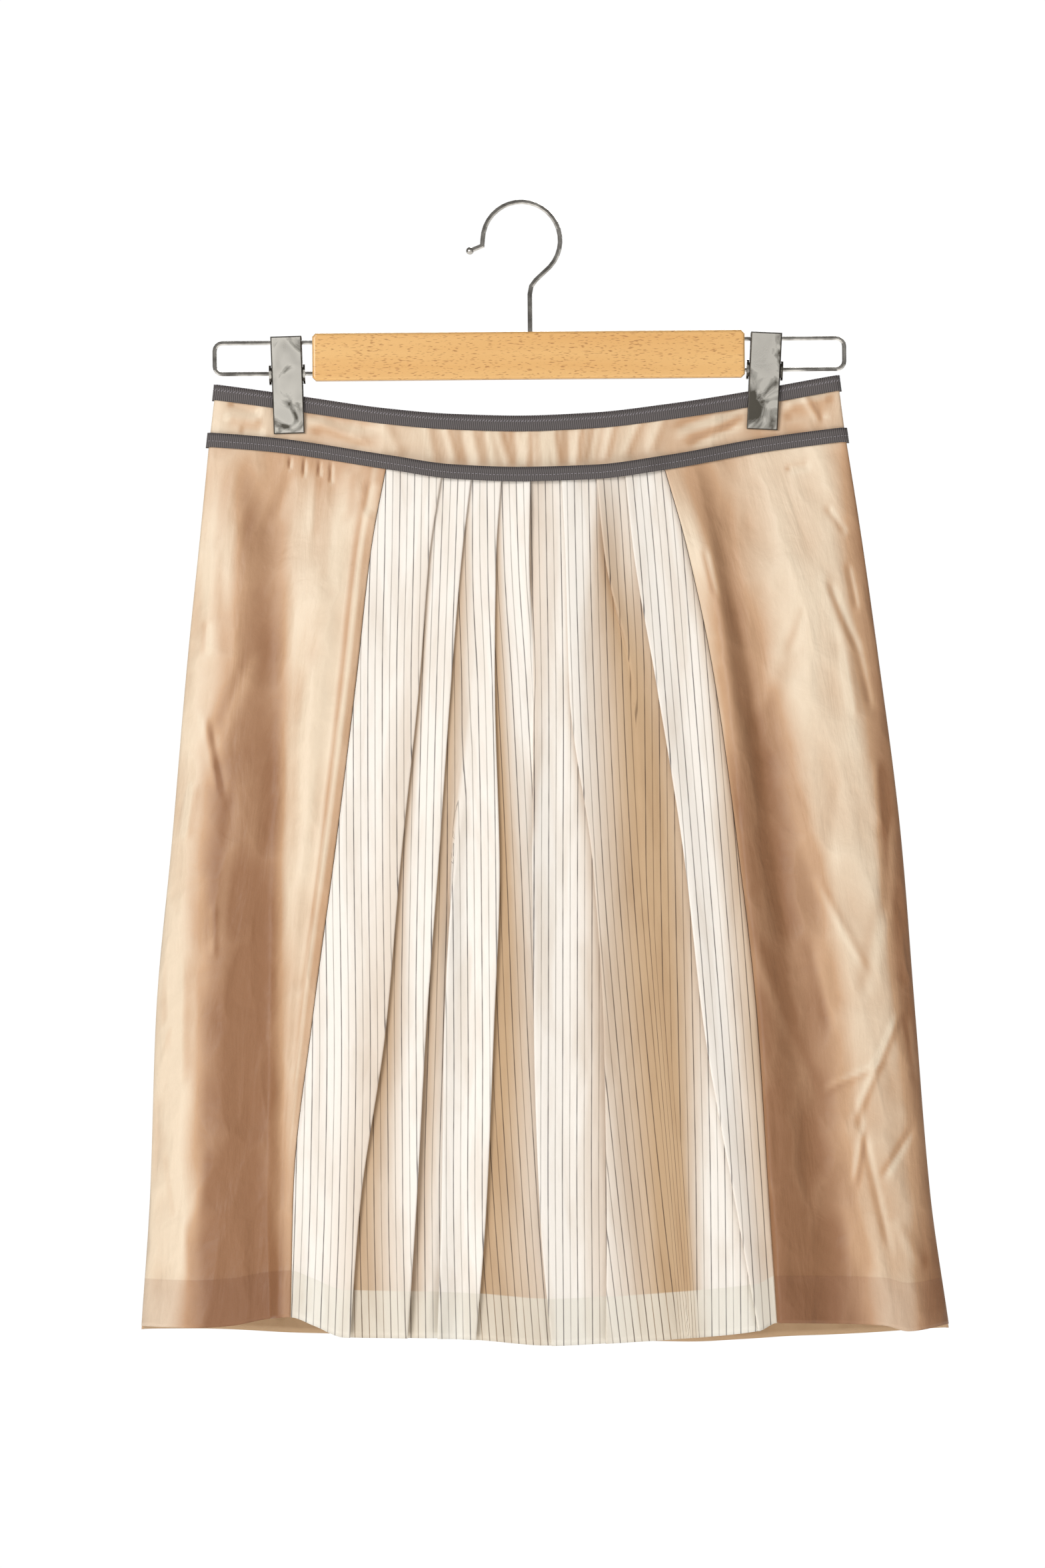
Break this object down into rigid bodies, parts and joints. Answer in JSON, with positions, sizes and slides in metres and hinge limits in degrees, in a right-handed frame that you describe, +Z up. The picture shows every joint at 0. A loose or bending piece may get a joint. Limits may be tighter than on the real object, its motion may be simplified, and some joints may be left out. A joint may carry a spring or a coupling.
{
  "type": "pleated skirt on a clip hanger",
  "caption": "Knee-length skirt of tan satin with a pleated striped front panel and ribbon-edged waistband, clipped to a wooden hanger with a wire hook",
  "frame": {"origin": "inside the crown of the hook, where it rests on a rail", "axes": "+Z up, -Y out of the skirt's front, +X to the right seen from the front"},
  "size_m": [0.4588, 0.0858, 0.6506],
  "materials": {
    "tan_satin": "smooth satin, soft sheen",
    "striped_cotton": "matt cream cloth with fine grey stripes, slightly see-through",
    "grey_ribbon": "ribbed grosgrain ribbon",
    "beech": "clear lacquered beech with short dark flecks",
    "chrome_wire": "polished wire",
    "chrome_clip": "polished, a little smudged"
  },
  "bodies": {
    "root": {"hook": "chrome_wire", "bar": "beech", "wire_loop_left": "chrome_wire", "wire_loop_right": "chrome_wire", "clip_left_barrel": "chrome_clip", "clip_left_front": "chrome_clip", "clip_left_back": "chrome_clip", "clip_right_barrel": "chrome_clip", "clip_right_front": "chrome_clip", "clip_right_back": "chrome_clip", "waistband_front": "tan_satin", "waistband_back": "tan_satin", "ribbon_top_front": "grey_ribbon", "ribbon_top_back": "grey_ribbon", "ribbon_lower_front": "grey_ribbon", "ribbon_lower_back": "grey_ribbon", "front_left": "tan_satin", "front_centre": "striped_cotton", "front_right": "tan_satin", "back_right": "tan_satin", "back_left": "tan_satin"}
  },
  "joints": []
}
